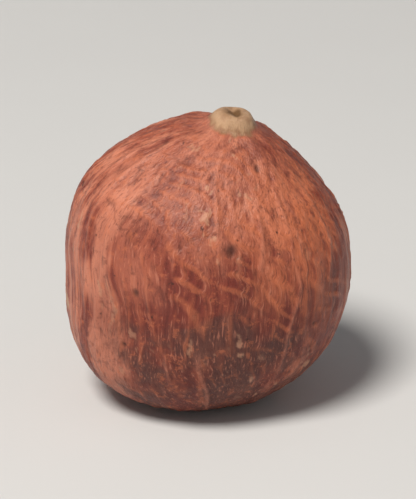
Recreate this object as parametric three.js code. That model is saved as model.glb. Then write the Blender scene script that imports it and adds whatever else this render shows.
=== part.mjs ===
// A shelled hazelnut: one whole kernel in its thin brown skin, standing on the broad end it can rest on.
// Millimetres, +Z up. The origin is on the resting plane, under the middle of the kernel.
// -Y is the front, and +X is the side that the tip mostly leans to.

import * as THREE from "three";
import { mergeVertices } from "three/addons/utils/BufferGeometryUtils.js";

// Driving dimensions.
const WIDTH = 13.9; // across X at the widest level, without the ribs
const DEPTH = 13.1; // across Y: a kernel is a little flatter one way
const BODY_HEIGHT = 13.75; // from the resting plane to the crown, without the point and the nib
const WIDEST_LEVEL = 7.35; // height of the widest level
const FLAT_RADIUS = 1.8; // the small flat spot that the kernel rests on
const BASE_SQUARENESS = 2.6; // superellipse power below the widest level
const CROWN_SQUARENESS = 2.15; // and above it
const POINT_HEIGHT = 0.9; // how far the crown draws up into a blunt point at the tip
const POINT_RADIUS = 2.9; // and how wide that point is
const SHOULDER = 0.035; // how much fuller the -X side is above and below its middle, as a share of the radius
const TIP_LEAN = THREE.MathUtils.degToRad(12); // how far the tip stands off the vertical
const LEAN_HEADING = THREE.MathUtils.degToRad(-33); // and which way: mostly +X, a little to the front
const LEAN_REACH = 0.6 * Math.PI; // the angle from the tip at which the lean has died away

// The nib is the small bare button at the tip, with a dimple in its top and the skin drawn in around it.
const NIB_TOP_RADIUS = 0.55;
const NIB_FOOT_RADIUS = 1.2;
const NIB_HEIGHT = 0.55;
const DIMPLE_RADIUS = 0.5;
const DIMPLE_DEPTH = 0.18;
const COLLAR_RADIUS = 1.6;
const COLLAR_WIDTH = 0.56;
const COLLAR_DEPTH = 0.07;

// Broad ribs run from tip to base: how many go round, how far each set stands out, and where it starts.
const RIB_SETS = [
  { count: 3, height: 0.1, start: 0.6 },
  { count: 5, height: 0.07, start: 2.1 },
  { count: 8, height: 0.05, start: 0.9 },
];

// Facets.
const MERIDIANS = 80;
const RINGS = 46;
const NIB_RINGS = 14; // how many of the rings shape the nib and its collar

const CROWN_HEIGHT = BODY_HEIGHT - WIDEST_LEVEL;
const COLLAR_ANGLE = (COLLAR_RADIUS + 1.7 * COLLAR_WIDTH) / CROWN_HEIGHT; // where the collar has run out
const FLAT_ANGLE = Math.PI - Math.atan(FLAT_RADIUS / WIDEST_LEVEL); // where the flat spot's edge is

const LEAN_AXIS = new THREE.Vector3(-Math.sin(LEAN_HEADING), Math.cos(LEAN_HEADING), 0);

const { smoothstep } = THREE.MathUtils;

// The angle from the tip of each ring: close together on the nib, with the last one round the flat spot.
function ringAngle(ring) {
  if (ring <= NIB_RINGS) return (COLLAR_ANGLE * ring) / NIB_RINGS;
  if (ring === RINGS) return Math.PI;
  const share = (ring - NIB_RINGS) / (RINGS - 1 - NIB_RINGS);
  return COLLAR_ANGLE + (FLAT_ANGLE - COLLAR_ANGLE) * share;
}

// A direction from the middle of the kernel. Meridians meet at the leaning tip and straight below the middle.
function directionAt(angle, around) {
  const direction = new THREE.Vector3(
    Math.sin(angle) * Math.cos(around),
    Math.sin(angle) * Math.sin(around),
    Math.cos(angle),
  );
  const lean = TIP_LEAN * (1 - smoothstep(angle, 0, LEAN_REACH));
  return direction.applyAxisAngle(LEAN_AXIS, lean);
}

// Distance from the middle to the plain body: a superellipse turned about +Z, as if the kernel were round.
function bodyRadius(direction) {
  const above = direction.z > 0;
  const power = above ? CROWN_SQUARENESS : BASE_SQUARENESS;
  const height = above ? CROWN_HEIGHT : WIDEST_LEVEL;
  const outward = Math.hypot(direction.x, direction.y) / (WIDTH / 2);
  const upward = Math.abs(direction.z) / height;
  return (outward ** power + upward ** power) ** (-1 / power);
}

// The point, the nib, its dimple and the collar, as a height over the body at this distance from the tip.
function tipHeight(distance) {
  const point = Math.exp(-((distance / POINT_RADIUS) ** 2));
  const button = 1 - smoothstep(distance, NIB_TOP_RADIUS, NIB_FOOT_RADIUS);
  const dimple = 1 - smoothstep(distance, 0, DIMPLE_RADIUS);
  const collar = Math.exp(-(((distance - COLLAR_RADIUS) / COLLAR_WIDTH) ** 2));
  return POINT_HEIGHT * point + NIB_HEIGHT * button - DIMPLE_DEPTH * dimple - COLLAR_DEPTH * collar;
}

// The broad ribs fade out towards the tip and the base.
function ribHeight(angle, around) {
  const fade = Math.sin(angle) ** 2;
  return RIB_SETS.reduce((sum, rib) => sum + rib.height * fade * Math.cos(rib.count * around + rib.start), 0);
}

function surfacePoint(angle, around) {
  const direction = directionAt(angle, around);
  const shoulder = 1 - SHOULDER * Math.sin(2 * angle) ** 2 * Math.cos(around);
  const relief = ribHeight(angle, around) + tipHeight(angle * CROWN_HEIGHT);
  const point = direction.clone().multiplyScalar(bodyRadius(direction) * shoulder + relief);
  point.y *= DEPTH / WIDTH;
  point.z += WIDEST_LEVEL;
  return point;
}

// A sphere's grid of meridians and rings gives the faces. Its vertices move to the kernel's surface.
function kernelGeometry() {
  const grid = new THREE.SphereGeometry(1, MERIDIANS, RINGS);
  const position = grid.attributes.position;
  const flatLevel = surfacePoint(FLAT_ANGLE, 0).z;
  for (let vertex = 0; vertex < position.count; vertex++) {
    const ring = Math.floor(vertex / (MERIDIANS + 1));
    const meridian = (vertex % (MERIDIANS + 1)) % MERIDIANS;
    const point = surfacePoint(ringAngle(ring), (2 * Math.PI * meridian) / MERIDIANS);
    const onFlatSpot = ring >= RINGS - 1;
    position.setXYZ(vertex, point.x, point.y, onFlatSpot ? flatLevel : Math.max(point.z, flatLevel));
  }
  grid.deleteAttribute("normal");
  grid.deleteAttribute("uv");
  const kernel = mergeVertices(grid);
  kernel.computeBoundingBox();
  const { min, max } = kernel.boundingBox;
  kernel.translate(-(min.x + max.x) / 2, -(min.y + max.y) / 2, -min.z);
  kernel.computeVertexNormals();
  return kernel;
}

const skin = new THREE.MeshStandardMaterial({ name: "skin", color: 0xa8604a, roughness: 0.6, metalness: 0 });

const kernel = new THREE.Mesh(kernelGeometry(), skin);
kernel.name = "hazelnut_kernel";

const hazelnut = new THREE.Group();
hazelnut.add(kernel);

export default hazelnut;
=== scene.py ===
"""A shelled hazelnut: one kernel in its thin brown skin, on a plain pale floor.

Shapes are worked out in millimetres in the frame's axes, and MM turns them into metres.
The tip stands up and leans a little to +X, the front is -Y, and the flat spot rests on z = 0.
"""

import math

import bmesh
import bpy
from mathutils import Matrix, Vector, noise


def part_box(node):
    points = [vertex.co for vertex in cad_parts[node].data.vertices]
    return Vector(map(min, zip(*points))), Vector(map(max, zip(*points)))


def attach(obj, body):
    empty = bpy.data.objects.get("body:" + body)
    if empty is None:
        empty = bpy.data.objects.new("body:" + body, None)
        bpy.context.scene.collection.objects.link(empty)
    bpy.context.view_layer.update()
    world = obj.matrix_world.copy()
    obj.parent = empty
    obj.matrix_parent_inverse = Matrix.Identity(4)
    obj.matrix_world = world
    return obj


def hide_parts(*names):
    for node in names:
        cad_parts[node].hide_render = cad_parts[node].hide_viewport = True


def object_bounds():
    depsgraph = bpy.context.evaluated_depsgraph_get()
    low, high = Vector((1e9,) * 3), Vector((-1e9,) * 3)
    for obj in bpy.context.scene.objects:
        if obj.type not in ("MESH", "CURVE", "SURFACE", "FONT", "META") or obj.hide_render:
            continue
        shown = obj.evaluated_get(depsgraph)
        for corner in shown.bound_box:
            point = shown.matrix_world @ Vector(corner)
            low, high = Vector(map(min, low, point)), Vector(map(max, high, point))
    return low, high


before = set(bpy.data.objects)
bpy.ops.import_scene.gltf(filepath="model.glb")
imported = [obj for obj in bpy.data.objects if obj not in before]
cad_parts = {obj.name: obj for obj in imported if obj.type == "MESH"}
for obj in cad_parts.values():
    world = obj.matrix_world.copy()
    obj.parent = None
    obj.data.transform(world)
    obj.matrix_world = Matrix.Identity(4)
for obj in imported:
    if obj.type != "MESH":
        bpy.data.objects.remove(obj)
cad_low, cad_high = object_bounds()

MM = 0.001
KERNEL = "hazelnut_kernel"
kernel_low, kernel_high = (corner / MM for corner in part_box(KERNEL))
WIDTH, DEPTH, HEIGHT = kernel_high - kernel_low

# The plain body: a superellipse turned about the upright, with a fuller shoulder on its -X side.
WIDEST_LEVEL = 0.49 * HEIGHT
CROWN_HEIGHT = 0.4267 * HEIGHT
BASE_SQUARENESS = 2.6
CROWN_SQUARENESS = 2.15
SHOULDER = 0.035
FLAT_RADIUS = 1.8
TIP_LEAN = math.radians(12)
LEAN_AXIS = Matrix.Rotation(math.radians(-33), 3, "Z") @ Vector((0, 1, 0))
LEAN_REACH = 0.6 * math.pi  # the angle from the tip at which the lean has died away
RIB_SETS = ((3, 0.1, 0.6), (5, 0.07, 2.1), (8, 0.05, 0.9))  # how many, height, start angle

# The tip: the crown draws up into a blunt point, and on it is the nib, a small bare button with a dimple
# in it and the skin drawn in round it.
POINT_HEIGHT = 0.9
POINT_RADIUS = 2.9
NIB_TOP_RADIUS = 0.55
NIB_FOOT_RADIUS = 1.2
NIB_HEIGHT = 0.55
COLLAR_RADIUS = 1.6
COLLAR_WIDTH = 0.56
COLLAR_DEPTH = 0.07
NIB_SLANT = 0.18  # how much further the bare nib reaches down the front than down the back
PLEATS = 2.4  # how closely the skin is pleated round the nib
SLIT_WIDTH = 0.2  # the dimple in the nib is a short slit that runs front to back
SLIT_LENGTH = 0.42
SLIT_DEPTH = 0.26

VEINS = 30  # how many raised veins run from the scar to the tip
VEIN_WIDTH = 0.13

SCAR_RADIUS = 2.3  # the rough round scar on the base, where the seed was fed
BARE_START, BARE_END = 0.88, 1.06  # how far from the tip the bare nib gives way to the skin

# How far each kind of relief stands out of the skin, or sinks into it.
VEIN_HEIGHT = 0.07
STRIA_HEIGHT = 0.05
CREASE_DEPTH = 0.025
RIPPLE_HEIGHT = 0.03
PIT_DEPTH = 0.08
FLAKE_THICKNESS = 0.015
RUB_DEPTH = 0.04
SKIN_THICKNESS = 0.04  # the torn edge of the skin round the nib and the scar
PLEAT_HEIGHT = 0.12
GRIT_HEIGHT = 0.006
LUMPS = ((4.6, 0.14), (2.1, 0.06))  # broad lumps: size and height

# Cross ripples curve round this place and cover this side.
RIPPLE_FOCUS = Vector((4.3, 2.3, 13.1))
RIPPLE_SIDE = Vector((0.45, -0.8, 0.4)).normalized()
RIPPLE_PITCH = 0.62
CRIMP = 0.024  # how far the ripples push the strands aside, in radians

# Sides of the skin that differ in tone, as directions from the middle. The pale shoulder is a painted
# highlight and the dusky foot is painted shade. The deep sides are the red heart of the front, and painted
# shade down the right of it.
PALE_FLANK = Vector((-1.0, -0.2, 0.15)).normalized()
WARM_CHEEK = Vector((0.7, -0.57, 0.42)).normalized()
SHOULDER_HIGHLIGHT_SIDE = Vector((-0.12, -0.55, 0.82)).normalized()
FOOT_SHADE_SIDE = Vector((0.05, -0.7, -0.7)).normalized()
RED_HEART_AND_SHADE_SIDES = (Vector((-0.2, -0.97, 0.12)).normalized(), Vector((0.82, -0.55, -0.2)).normalized())

# Broad streaks from tip to base: heading in degrees to the right of the front, width, and tone, which is
# below 0 where a streak is darker than the skin round it.
TONE_STREAKS = (
    (-46, 8, 1.9),
    (-25, 9, -0.7),
    (-72, 9, 0.1),
    (8, 7, -0.4),
    (62, 11, -0.5),
    (104, 13, 0.7),
    (136, 8, -0.5),
    (168, 12, 0.5),
    (205, 10, -0.7),
    (236, 9, 0.8),
)

# Small dark pits: heading in degrees to the right of the front, level, and radius.
PITS = (
    (9, 9.9, 0.36),
    (29, 12.7, 0.18),
    (-29, 7.7, 0.2),
    (-35, 4.9, 0.18),
    (48, 5.6, 0.13),
    (118, 9.0, 0.16),
    (171, 11.1, 0.2),
    (214, 6.2, 0.18),
    (251, 9.6, 0.13),
)

RUB_PLACE = Vector((-6.9, -1.0, 5.5))  # a small pale rub, where the skin has worn through
RUB_RADIUS = 0.55

GRID_CUTS = 126  # cuts along each edge of the cube that the kernel's grid starts from


def smoothstep(value, low, high):
    """0 at low, 1 at high, with level ends."""
    share = min(max((value - low) / (high - low), 0.0), 1.0)
    return share * share * (3 - 2 * share)


def patches(place, size, low, high, shift=0.0):
    """A soft-edged mask of irregular patches about this many millimetres across."""
    return smoothstep(noise.noise(place / size + Vector((shift, shift, shift))), low, high)


def drift(place):
    """A smooth wandering offset that is different along each axis, each between -1 and 1."""
    return Vector(noise.noise(place + Vector((shift, 0, 0))) for shift in (0.0, 17.0, 43.0))


# The kernel's shape.


def direction_at(angle, around):
    """A direction from the middle, for an angle from the leaning tip and a heading round it."""
    upright = Vector(
        (math.sin(angle) * math.cos(around), math.sin(angle) * math.sin(around), math.cos(angle))
    )
    lean = TIP_LEAN * (1 - smoothstep(angle, 0, LEAN_REACH))
    return Matrix.Rotation(lean, 3, LEAN_AXIS) @ upright


def body_radius(direction):
    """Distance from the middle to the plain body, in a direction."""
    above = direction.z > 0
    power = CROWN_SQUARENESS if above else BASE_SQUARENESS
    reach = CROWN_HEIGHT if above else WIDEST_LEVEL
    outward = math.hypot(direction.x, direction.y) / (WIDTH / 2)
    upward = abs(direction.z) / reach
    return (outward**power + upward**power) ** (-1 / power)


def broad_ribs(angle, around):
    """The broad ribs that run from tip to base and fade out at both."""
    waves = sum(height * math.cos(count * around + start) for count, height, start in RIB_SETS)
    return waves * math.sin(angle) ** 2


def tip_height(angle, around):
    """The point, the nib with its slit and the collar, by place round the tip."""
    distance = angle * CROWN_HEIGHT
    across, along = distance * math.cos(around), distance * math.sin(around)
    uneven = 1 + 0.12 * noise.noise(Vector((math.cos(around), math.sin(around), 3.0)) * 1.6)
    point = math.exp(-((distance / POINT_RADIUS) ** 2))
    button = 1 - smoothstep(distance * uneven, NIB_TOP_RADIUS, NIB_FOOT_RADIUS)
    crooked = across + 0.1 * math.sin(4 * along)
    slit = math.exp(-((crooked / SLIT_WIDTH) ** 2) - (along / SLIT_LENGTH) ** 2)
    collar = math.exp(-(((distance - COLLAR_RADIUS) / COLLAR_WIDTH) ** 2))
    return POINT_HEIGHT * point + NIB_HEIGHT * button - SLIT_DEPTH * slit - COLLAR_DEPTH * collar


def body_point(angle, around, relief=0.0):
    """A point on the kernel, with this much relief standing off the plain body."""
    direction = direction_at(angle, around)
    shoulder = 1 - SHOULDER * math.sin(2 * angle) ** 2 * math.cos(around)
    point = direction * (body_radius(direction) * shoulder + broad_ribs(angle, around) + relief)
    point.y *= DEPTH / WIDTH
    point.z += WIDEST_LEVEL
    return point


# The skin's marks and relief. A strand place is stretched, so that noise in it runs from base to tip.


def strand_place(angle, around, place, ripple):
    """Where a point lies across and along the strands, which wander and are crimped by the ripples."""
    wander = 0.5 * noise.noise(place / 4.1) + 0.16 * noise.noise(place / 1.5)
    heading = around + 0.16 * wander + CRIMP * ripple
    spread = 0.4 + 0.6 * math.sin(angle)
    return Vector((math.cos(heading) * spread, math.sin(heading) * spread, 0.08 * angle))


def vein_height(angle, around, place):
    """Raised veins that wander from the scar to the tip and join up here and there, from 0 to 1."""
    turn = around / math.tau * VEINS
    round_kernel = math.hypot(place.x, place.y)
    height = 0.0
    for number in range(math.floor(turn) - 1, math.floor(turn) + 3):
        vein = number % VEINS
        start = Vector((3.7 * vein, 1.3 * vein, 0.9 * angle))
        wander = 0.9 * noise.noise(start) + 0.22 * noise.noise(start * 4)
        strength = smoothstep(noise.noise(start * 1.7 + Vector((0, 50, 0))), -0.25, 0.35)
        aside = (turn - number - 0.5 - wander) / VEINS * math.tau * round_kernel
        height = max(height, strength * math.exp(-((aside / VEIN_WIDTH) ** 2)))
    return height


def stria_height(strands):
    """Fine close ridges between the veins, from -1 to 1."""
    return noise.noise(strands * 19.0) + 0.5 * noise.noise(strands * 41.0)


def crease_height(place):
    """Short shallow creases that cross the ridges at random, from -1 to 0."""
    coarse = max(0.0, 1 - 8 * abs(noise.noise(place / 1.6)))
    fine = max(0.0, 1 - 7 * abs(noise.noise(place / 0.75)))
    return -(coarse + 0.5 * fine) * smoothstep(noise.noise(place / 2.4), -0.1, 0.3)


def ripple_height(place, facing):
    """Fine cross ridges like a fingerprint, broken up, mostly on the front and right, from 0 to 1."""
    bent = place + 0.8 * drift(place / 3.4) + 0.12 * drift(place / 0.9)
    along = (bent - RIPPLE_FOCUS).length
    cover = smoothstep(facing.dot(RIPPLE_SIDE) + 0.4 * noise.noise(place / 2.2), 0.3, 0.85)
    broken = smoothstep(noise.noise(place / 1.3 + Vector((0, 0, 31.0))), -0.5, 0.2)
    return (0.5 + 0.5 * math.sin(math.tau * along / RIPPLE_PITCH)) ** 2 * cover * broken


def pit_depth(around, place):
    """A few small round pits, from 0 to 1 at the middle of each."""
    heading = math.degrees(around) + 90
    round_kernel = math.hypot(place.x, place.y)
    depth = 0.0
    for pit_heading, level, radius in PITS:
        aside = math.radians((heading - pit_heading + 180) % 360 - 180) * round_kernel
        away = math.hypot(aside, place.z - level) * (1 + 0.5 * noise.noise(place / 0.3))
        depth = max(depth, 1 - smoothstep(away, 0.2 * radius, 1.3 * radius))
    return depth


def rub_mask(place):
    """The worn spot's ragged mask, from 0 to 1."""
    ragged = 0.5 * noise.noise(place / 0.5) + 0.3 * noise.noise(place / 0.2)
    return 1 - smoothstep((place - RUB_PLACE).length / RUB_RADIUS + ragged, 0.7, 1.0)


def flake_height(strands, place):
    """Thin shreds of the shell's lining that stuck to the skin, from 0 to 1."""
    streaky = noise.noise(strands * 19.0 + Vector((3.1, 8.2, 5.3)))
    ragged = streaky + 0.5 * noise.noise(place / 0.42) + 0.25 * noise.noise(place / 0.17)
    return smoothstep(ragged, 0.5, 0.62)


def streak_tone(around, angle, place):
    """The broad streaks' tone, dark below 0 and pale above, fading out at the tip and the base."""
    heading = math.degrees(around) + 90 + 9 * noise.noise(place / 3.6) + 4 * noise.noise(place / 1.2)
    tone = 0.0
    for middle_heading, width, strength in TONE_STREAKS:
        aside = (heading - middle_heading + 180) % 360 - 180
        tone += strength * math.exp(-((aside / width) ** 2))
    return tone * smoothstep(math.sin(angle), 0.5, 0.95)


def side_tone(place, facing, side, low, high, shift):
    """How much a point belongs to one side of the kernel, with a ragged border, from 0 to 1."""
    ragged = 0.3 * noise.noise(place / 3.1 + Vector((shift, 0, 0))) + 0.12 * noise.noise(place / 1.1)
    return smoothstep(facing.dot(side) + ragged, low, high)


# What the vertices keep for the material to read.
MASKS = (
    "vein", "stria", "ripple", "crease", "pit", "rub", "flake", "bare", "scar", "nib_reach",
    "pale", "warm", "shoulder", "red_heart_and_shade", "streak", "foot_shade",
)


def skin_relief(angle, around, layers, vert):
    """All the relief at one point in millimetres. Keeps the masks for the skin's colours on the vertex."""
    place = body_point(angle, around)
    facing = (place - Vector((0, 0, WIDEST_LEVEL))).normalized()
    ripple = ripple_height(place, facing)
    strands = strand_place(angle, around, place, ripple)
    from_tip = angle * CROWN_HEIGHT
    from_base = (math.pi - angle) * WIDEST_LEVEL
    ragged = 0.16 * noise.noise(place / 0.5) + 0.1 * noise.noise(place / 0.22)
    nib_reach = from_tip * (1 + NIB_SLANT * math.sin(around)) + ragged
    bare = 1 - smoothstep(nib_reach, BARE_START, BARE_END)
    scar = 1 - smoothstep(from_base + 3 * ragged, 0.85 * SCAR_RADIUS, 1.1 * SCAR_RADIUS)
    skin = 1 - max(bare, scar)

    vein = vein_height(angle, around, place) * smoothstep(from_tip, 1.2, 3.2)
    stria = stria_height(strands) * smoothstep(from_tip, 0.8, 2.0)
    crease = crease_height(place)
    pit = pit_depth(around, place) * skin
    rub = rub_mask(place)
    flake = flake_height(strands, place) * skin * patches(place, 4.5, -0.05, 0.3, shift=5.0)
    ring = Vector((math.cos(around), math.sin(around), 0.2 * from_tip))
    pleat = noise.noise(ring * PLEATS) * smoothstep(from_tip, 0.8, 1.5)
    pleat *= 1 - smoothstep(from_tip, 1.8, 4.5)

    vert[layers["vein"]] = vein * skin
    vert[layers["stria"]] = 0.5 + 0.4 * stria
    vert[layers["ripple"]] = ripple
    vert[layers["crease"]] = -crease
    vert[layers["pit"]] = pit
    vert[layers["rub"]] = rub
    vert[layers["flake"]] = flake
    vert[layers["bare"]] = bare
    vert[layers["scar"]] = scar
    vert[layers["nib_reach"]] = nib_reach
    # Of the side masks below, the shoulder's is a painted highlight, and the foot's and the right one of
    # the two deep sides are painted shade.
    vert[layers["pale"]] = side_tone(place, facing, PALE_FLANK, 0.3, 0.95, 0.0)
    vert[layers["warm"]] = side_tone(place, facing, WARM_CHEEK, 0.65, 1.0, 9.0)
    vert[layers["shoulder"]] = side_tone(place, facing, SHOULDER_HIGHLIGHT_SIDE, 0.6, 1.05, 25.0)
    vert[layers["red_heart_and_shade"]] = max(side_tone(place, facing, side, 0.7, 1.05, 33.0) for side in RED_HEART_AND_SHADE_SIDES)
    vert[layers["streak"]] = streak_tone(around, angle, place)
    vert[layers["foot_shade"]] = side_tone(place, facing, FOOT_SHADE_SIDE, 0.35, 0.95, 17.0)
    vert[layers["strand"]] = strands

    raised = VEIN_HEIGHT * vein + STRIA_HEIGHT * stria + RIPPLE_HEIGHT * ripple + FLAKE_THICKNESS * flake
    sunk = PIT_DEPTH * pit + RUB_DEPTH * rub - CREASE_DEPTH * crease
    lumps = sum(height * noise.noise(place / size) for size, height in LUMPS)
    lumps *= smoothstep(from_tip, 2.0, 7.0)
    grit = GRIT_HEIGHT * noise.noise(place / 0.2)
    corky = (0.4 * bare + scar) * (0.07 * noise.noise(place / 0.38) + 0.04 * noise.noise(place / 0.17))
    relief = (raised - sunk + SKIN_THICKNESS) * skin + PLEAT_HEIGHT * pleat
    return tip_height(angle, around) + lumps + relief + corky + grit


def kernel_grid():
    """An even grid of quads round a sphere: a cube cut up, with its cuts an equal angle apart."""
    bm = bmesh.new()
    bmesh.ops.create_cube(bm, size=2)
    bmesh.ops.subdivide_edges(bm, edges=bm.edges, cuts=GRID_CUTS, use_grid_fill=True)
    for vert in bm.verts:
        vert.co = Vector(math.tan(share * math.pi / 4) for share in vert.co).normalized()
    return bm


def fit_to_frame(bm):
    """Puts the shape's box on the frame's box for the kernel, with the flat spot on its lowest face."""
    low = Vector(min(vert.co[axis] for vert in bm.verts) for axis in range(3))
    high = Vector(max(vert.co[axis] for vert in bm.verts) for axis in range(3))
    room = kernel_high - kernel_low
    for vert in bm.verts:
        for axis in range(3):
            share = (vert.co[axis] - low[axis]) / (high[axis] - low[axis])
            vert.co[axis] = (kernel_low[axis] + share * room[axis]) * MM


def make_kernel(material):
    """The kernel with its skin, veins, wrinkles, nib and scar, as one closed mesh."""
    bm = kernel_grid()
    layers = {name: bm.verts.layers.float.new(name) for name in MASKS}
    layers["strand"] = bm.verts.layers.float_vector.new("strand")
    flat_angle = math.pi - math.atan(FLAT_RADIUS / WIDEST_LEVEL)
    flat_level = body_point(flat_angle, 0).z
    for vert in bm.verts:
        angle = math.acos(max(-1.0, min(1.0, vert.co.z)))
        around = math.atan2(vert.co.y, vert.co.x)
        relief = skin_relief(angle, around, layers, vert)
        vert.co = body_point(angle, around, relief)
        vert.co.z = max(vert.co.z, flat_level)
    fit_to_frame(bm)
    for face in bm.faces:
        face.smooth = True
    bmesh.ops.recalc_face_normals(bm, faces=bm.faces)

    mesh = bpy.data.meshes.new("kernel_in_skin")
    bm.to_mesh(mesh)
    bm.free()
    mesh.materials.append(material)
    piece = bpy.data.objects.new("kernel_in_skin", mesh)
    bpy.context.scene.collection.objects.link(piece)
    return piece


# Materials.


def srgb(red, green, blue):
    """A colour given as 0 to 255 display values, as the linear values that a shader takes."""
    def linear(value):
        value /= 255
        return value / 12.92 if value <= 0.04045 else ((value + 0.055) / 1.055) ** 2.4

    return (linear(red), linear(green), linear(blue), 1.0)


class Recipe:
    """Short calls for adding nodes to a material's tree and linking them."""

    def __init__(self, material):
        material.use_nodes = True
        self.tree = material.node_tree
        self.shader = self.tree.nodes["Principled BSDF"]

    def node(self, kind, **settings):
        made = self.tree.nodes.new(kind)
        for name, value in settings.items():
            setattr(made, name, value)
        return made

    def feed(self, socket, source):
        """Links a socket, or sets it if the source is a plain value."""
        if isinstance(source, bpy.types.NodeSocket):
            self.tree.links.new(source, socket)
        else:
            socket.default_value = source

    def attribute(self, name, output="Fac"):
        return self.node("ShaderNodeAttribute", attribute_name=name).outputs[output]

    def math(self, operation, *values, clamp=False):
        made = self.node("ShaderNodeMath", operation=operation, use_clamp=clamp)
        for socket, value in zip(made.inputs, values):
            self.feed(socket, value)
        return made.outputs[0]

    def spread(self, value, low, high):
        """The value as a mask from 0 to 1, with level ends."""
        made = self.node("ShaderNodeMapRange", interpolation_type="SMOOTHSTEP")
        self.feed(made.inputs["Value"], value)
        made.inputs["From Min"].default_value = low
        made.inputs["From Max"].default_value = high
        return made.outputs[0]

    def noise(self, place, scale, detail=2.0, roughness=0.5, distortion=0.0):
        made = self.node("ShaderNodeTexNoise")
        self.feed(made.inputs["Vector"], place)
        made.inputs["Scale"].default_value = scale
        made.inputs["Detail"].default_value = detail
        made.inputs["Roughness"].default_value = roughness
        made.inputs["Distortion"].default_value = distortion
        return made.outputs["Fac"]

    def tint(self, mask, under, over):
        """One colour where the mask is 0, another where it is 1."""
        made = self.node("ShaderNodeMix", data_type="RGBA")
        self.feed(made.inputs["Factor"], mask)
        self.feed(made.inputs[6], under)
        self.feed(made.inputs[7], over)
        return made.outputs[2]

    def over(self, under, coat, mask, strength):
        """Lays a coat over a colour where the mask says, at most this strongly."""
        return self.tint(self.math("MULTIPLY", mask, strength), under, coat)


TERRACOTTA = srgb(158, 79, 58)
RED_BROWN = srgb(120, 50, 40)
DEEP_BROWN = srgb(82, 37, 32)
PINK_TAN = srgb(208, 132, 106)
PEACH = srgb(200, 112, 76)
GREY_BROWN = srgb(82, 54, 49)
DARK_SPECK = srgb(62, 32, 28)
LINING_TAN = srgb(206, 154, 124)
NIB_CREAM = srgb(194, 156, 122)
NIB_OLIVE = srgb(150, 108, 78)
NIB_CORE = srgb(128, 94, 62)
SCAR_BROWN = srgb(150, 112, 88)


def skin_tone(recipe, place, strand):
    """The skin's broad tones: pale streaks, a warm cheek, a red heart, a painted highlight on the
    shoulder, and painted shade down the right side and on the foot, where grey blotches gather.
    """
    foot_shade = recipe.attribute("foot_shade")
    blotches = recipe.noise(place, 330, detail=4, roughness=0.6)
    bands = recipe.noise(strand, 14, detail=4, roughness=0.6)
    mottle = recipe.math("MULTIPLY_ADD", bands, 0.55, recipe.math("MULTIPLY", blotches, 0.45))
    colour = recipe.tint(recipe.spread(mottle, 0.42, 0.57), RED_BROWN, TERRACOTTA)
    lighter = recipe.spread(mottle, 0.27, 0.52)
    cheek = recipe.math("MULTIPLY", recipe.attribute("warm"), lighter)
    # The shoulder mask marks a painted highlight.
    shoulder = recipe.math("MULTIPLY", recipe.attribute("shoulder"), lighter)
    colour = recipe.over(colour, PEACH, cheek, 0.9)

    streaks = recipe.noise(strand, 7, detail=3, roughness=0.55)
    lift = recipe.math("MULTIPLY_ADD", recipe.attribute("pale"), 0.08, streaks)
    lift = recipe.math("MULTIPLY_ADD", recipe.attribute("streak"), 0.17, lift)
    lift = recipe.math("MULTIPLY_ADD", blotches, 0.4, lift)
    colour = recipe.over(colour, PINK_TAN, recipe.spread(lift, 0.72, 0.91), 0.82)
    colour = recipe.over(colour, RED_BROWN, recipe.spread(lift, 0.67, 0.53), 0.7)
    # Painted highlight: the shoulder is lightened to pink tan.
    colour = recipe.over(colour, PINK_TAN, shoulder, 0.6)

    # Darker red on the front's red heart, and painted shade down the right side.
    colour = recipe.over(colour, RED_BROWN, recipe.attribute("red_heart_and_shade"), 0.52)

    # Painted shade: the foot is darkened towards deep brown, and grey-brown blotches, partly the skin's
    # own and partly painted shade, lie mostly on the foot.
    clouds = recipe.noise(place, 260, detail=5, roughness=0.62, distortion=0.5)
    grey_blotch_and_shade = recipe.math("MULTIPLY_ADD", foot_shade, 0.3, clouds)
    colour = recipe.over(colour, DEEP_BROWN, foot_shade, 0.4)
    return recipe.over(colour, GREY_BROWN, recipe.spread(grey_blotch_and_shade, 0.69, 0.85), 0.7)


def fine_marks(recipe, colour, place, fibres):
    """The small marks over the tones: ridges, ripples, veins, fibres, creases, specks and flakes, with
    painted shade in the ridges' hollows and the creases and a painted highlight on the ridge and ripple
    crests.
    """
    stria, ripple = recipe.attribute("stria"), recipe.attribute("ripple")
    # Partly the skin's own streaks and partly painted light: the hollows of the fine ridges are darkened
    # as painted shade and their tops lightened as a painted highlight.
    colour = recipe.over(colour, DEEP_BROWN, recipe.spread(stria, 0.42, 0.12), 0.46)
    colour = recipe.over(colour, PEACH, recipe.spread(stria, 0.55, 0.88), 0.45)
    # Painted highlight: the ripple crests are lightened to peach.
    colour = recipe.over(colour, PEACH, recipe.spread(ripple, 0.15, 0.9), 0.44)
    colour = recipe.over(colour, PINK_TAN, recipe.spread(recipe.attribute("vein"), 0.25, 1.1), 0.4)
    # Painted shade: the creases are darkened.
    colour = recipe.over(colour, DEEP_BROWN, recipe.spread(recipe.attribute("crease"), 0.5, 1.2), 0.35)
    colour = recipe.over(colour, DEEP_BROWN, recipe.spread(fibres, 0.46, 0.3), 0.46)
    colour = recipe.over(colour, PINK_TAN, recipe.spread(fibres, 0.56, 0.72), 0.46)
    granules = recipe.noise(place, 1700, detail=5, roughness=0.75)
    colour = recipe.over(colour, DEEP_BROWN, recipe.spread(granules, 0.47, 0.36), 0.38)
    colour = recipe.over(colour, PEACH, recipe.spread(granules, 0.54, 0.66), 0.42)
    specks = recipe.spread(recipe.noise(place, 2100, detail=2), 0.7, 0.78)
    dark = recipe.math("MAXIMUM", specks, recipe.attribute("pit"))
    colour = recipe.over(colour, DARK_SPECK, dark, 0.8)
    colour = recipe.over(colour, LINING_TAN, recipe.attribute("flake"), 0.5)
    return recipe.over(colour, NIB_CREAM, recipe.attribute("rub"), 0.75)


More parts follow.
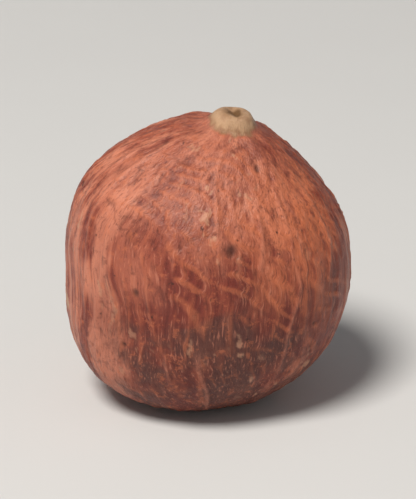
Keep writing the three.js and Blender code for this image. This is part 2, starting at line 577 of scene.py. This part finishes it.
def bare_marks(recipe, colour, place):
    """The pale nib with its brown slit, and the corky scar."""
    wobble = recipe.noise(place, 1900, detail=3)
    reach = recipe.math("MULTIPLY_ADD", wobble, 0.3, recipe.attribute("nib_reach"))
    nib = recipe.tint(recipe.spread(reach, 0.32, 0.62), NIB_CORE, NIB_CREAM)
    nib = recipe.over(nib, NIB_OLIVE, recipe.spread(reach, 0.85, 1.1), 0.85)
    nib = recipe.over(nib, NIB_OLIVE, recipe.spread(wobble, 0.48, 0.68), 0.5)
    colour = recipe.over(colour, nib, recipe.attribute("bare"), 1.0)
    corky = recipe.tint(recipe.noise(place, 1500, detail=4), RED_BROWN, SCAR_BROWN)
    return recipe.over(colour, corky, recipe.attribute("scar"), 1.0)


def kernel_skin():
    """Satin brown seed skin with a bare nib and scar."""
    material = bpy.data.materials.new("kernel_skin")
    recipe = Recipe(material)
    place = recipe.node("ShaderNodeTexCoord").outputs["Object"]
    strand = recipe.attribute("strand", "Vector")
    fibres = recipe.noise(strand, 70, detail=3)

    colour = skin_tone(recipe, place, strand)
    colour = fine_marks(recipe, colour, place, fibres)
    colour = bare_marks(recipe, colour, place)
    recipe.feed(recipe.shader.inputs["Base Color"], colour)

    worn = recipe.math("MULTIPLY_ADD", recipe.noise(place, 900, detail=4), 0.3, 0.27)
    matt = recipe.math("MULTIPLY_ADD", recipe.attribute("foot_shade"), 0.15, worn, clamp=True)
    recipe.feed(recipe.shader.inputs["Roughness"], matt)
    recipe.shader.inputs["Specular IOR Level"].default_value = 0.34

    grain = recipe.noise(place, 3600, detail=5, roughness=0.7)
    bump = recipe.node("ShaderNodeBump")
    bump.inputs["Strength"].default_value = 0.7
    bump.inputs["Distance"].default_value = 0.05 * MM
    recipe.feed(bump.inputs["Height"], recipe.math("MULTIPLY_ADD", fibres, 1.6, grain))
    recipe.feed(recipe.shader.inputs["Normal"], bump.outputs[0])
    return material


def pale_floor():
    """Plain pale matt paper for the sweep."""
    material = bpy.data.materials.new("pale_floor")
    recipe = Recipe(material)
    place = recipe.node("ShaderNodeTexCoord").outputs["Object"]
    tone = recipe.tint(recipe.noise(place, 40, detail=3), srgb(212, 213, 214), srgb(217, 218, 219))
    recipe.feed(recipe.shader.inputs["Base Color"], tone)
    recipe.shader.inputs["Roughness"].default_value = 0.85
    recipe.shader.inputs["Specular IOR Level"].default_value = 0.2
    return material


# The stage.

FLOOR_RADIUS = 0.3  # metres from here on
SWEEP_RADIUS = 0.32
FLOOR_GAP = 0.00001  # the floor lies this far under the flat spot, so that the two faces don't coincide
LAMP_DISTANCE = 0.45
CAMERA_DISTANCE = 0.122
CAMERA_ELEVATION = 22  # degrees
LENS = 180  # millimetres, on a 36 mm sensor

middle = (cad_low + cad_high) / 2


def make_floor():
    """A round floor that sweeps up into a wall, so that no edge shows behind the kernel."""
    bm = bmesh.new()
    turns = [math.radians(step * 6) for step in range(16)]
    outline = [(0.0, 0.0)] + [
        (FLOOR_RADIUS + SWEEP_RADIUS * math.sin(turn), SWEEP_RADIUS * (1 - math.cos(turn)))
        for turn in turns
    ]
    verts = [bm.verts.new((radius, 0, level - FLOOR_GAP)) for radius, level in outline]
    edges = [bm.edges.new(pair) for pair in zip(verts, verts[1:])]
    bmesh.ops.spin(
        bm, geom=verts + edges, axis=(0, 0, 1), cent=(0, 0, 0), angle=math.tau, steps=96, use_merge=True
    )
    bmesh.ops.remove_doubles(bm, verts=bm.verts, dist=0.00001)
    bmesh.ops.recalc_face_normals(bm, faces=bm.faces)
    for face in bm.faces:
        face.smooth = True
    mesh = bpy.data.meshes.new("floor")
    bm.to_mesh(mesh)
    bm.free()
    mesh.materials.append(pale_floor())
    floor = bpy.data.objects.new("floor", mesh)
    bpy.context.scene.collection.objects.link(floor)
    return floor


def aim(thing, place, target):
    """Stands a lamp or the camera at a place, pointing at the target."""
    thing.location = place
    thing.rotation_euler = (target - place).to_track_quat("-Z", "Y").to_euler()
    bpy.context.scene.collection.objects.link(thing)


def around_kernel(azimuth, elevation, distance):
    """A place this far from the kernel's middle, with azimuth 0 in front of it and 90 to its right."""
    turn, lift = math.radians(azimuth), math.radians(elevation)
    level = math.cos(lift)
    return middle + distance * Vector((math.sin(turn) * level, -math.cos(turn) * level, math.sin(lift)))


def make_lamp(name, azimuth, elevation, size, power, colour=(1, 1, 1)):
    """A round soft lamp that points at the kernel's middle."""
    lamp = bpy.data.lights.new(name, "AREA")
    lamp.shape = "DISK"
    lamp.size = size
    lamp.energy = power
    lamp.color = colour
    aim(bpy.data.objects.new(name, lamp), around_kernel(azimuth, elevation, LAMP_DISTANCE), middle)


def make_camera():
    """A long lens that looks down on the kernel a little from the front."""
    lens = bpy.data.cameras.new("camera")
    lens.lens = LENS
    lens.sensor_width = 36
    lens.clip_start = 0.01
    camera = bpy.data.objects.new("camera", lens)
    aim(camera, around_kernel(0, CAMERA_ELEVATION, CAMERA_DISTANCE), middle)
    bpy.context.scene.camera = camera


kernel = make_kernel(kernel_skin())
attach(kernel, "root")
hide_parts(KERNEL)

make_floor()
make_lamp("key_lamp", -34, 58, 0.16, 2.2, (1, 0.95, 0.88))
make_lamp("fill_lamp", 60, 35, 0.4, 0.06)
make_camera()

world = bpy.data.worlds.new("studio_air")
world.use_nodes = True
world.node_tree.nodes["Background"].inputs["Color"].default_value = (1, 1, 1, 1)
world.node_tree.nodes["Background"].inputs["Strength"].default_value = 0.15
bpy.context.scene.world = world
bpy.context.scene.view_settings.view_transform = "Standard"
